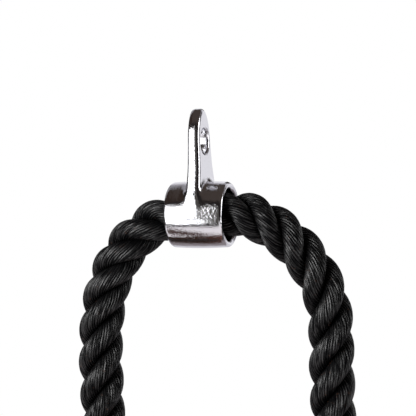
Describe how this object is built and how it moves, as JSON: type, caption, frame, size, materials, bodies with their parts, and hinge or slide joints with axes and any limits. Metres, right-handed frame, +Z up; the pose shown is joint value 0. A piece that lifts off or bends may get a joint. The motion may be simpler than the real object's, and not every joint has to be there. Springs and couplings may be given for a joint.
{
  "type": "triceps rope attachment",
  "caption": "Chrome tee collar hung by its eye, with a thick twisted rope running loosely through it in an arch and a moulded stopper on each rope end.",
  "frame": {"origin": "centre of the lug's eye, halfway through the lug's thickness", "axes": "+X along the collar towards the longer visible arch (right in the picture), +Y to the back, +Z up"},
  "size_m": [0.2208, 0.06, 0.3898],
  "materials": {
    "collar_chrome": "bright plate over a slightly grainy forging",
    "rope": "black laid nylon with a soft sheen",
    "shrink_sleeve": "shrunk tube, semi-gloss",
    "stopper_rubber": "moulded, matt",
    "zinc_steel": "zinc plated",
    "end_cap_plastic": "moulded, fine texture"
  },
  "bodies": {
    "hanger": {"hanger_collar": "collar_chrome"},
    "rope": {"rope_in_collar": "rope"},
    "left_leg": {"left_rope": "rope", "left_shrink_sleeve": "shrink_sleeve", "left_stopper": "stopper_rubber", "left_washer": "zinc_steel", "left_screw": "zinc_steel", "left_end_cap": "end_cap_plastic"},
    "right_leg": {"right_rope": "rope", "right_shrink_sleeve": "shrink_sleeve", "right_stopper": "stopper_rubber", "right_washer": "zinc_steel", "right_screw": "zinc_steel", "right_end_cap": "end_cap_plastic"}
  },
  "joints": [
    {"name": "rope_turn", "type": "hinge", "parent": "hanger", "child": "rope", "pos_m": [0, 0, -0.0492], "axis": [0.9982, 0, 0.0604], "range_deg": [-90, 90]},
    {"name": "left_leg_spread", "type": "hinge", "parent": "rope", "child": "left_leg", "pos_m": [-0.0218, 0, -0.05052], "axis": [0, 1, 0], "range_deg": [-8, 35], "stiffness_Nm_per_rad": 1.2, "springref_deg": 6.26, "deforming": ["left_rope"]},
    {"name": "right_leg_spread", "type": "hinge", "parent": "rope", "child": "right_leg", "pos_m": [0.0218, 0, -0.04788], "axis": [0, -1, 0], "range_deg": [-8, 35], "stiffness_Nm_per_rad": 1.2, "springref_deg": 7.26, "deforming": ["right_rope"]}
  ]
}
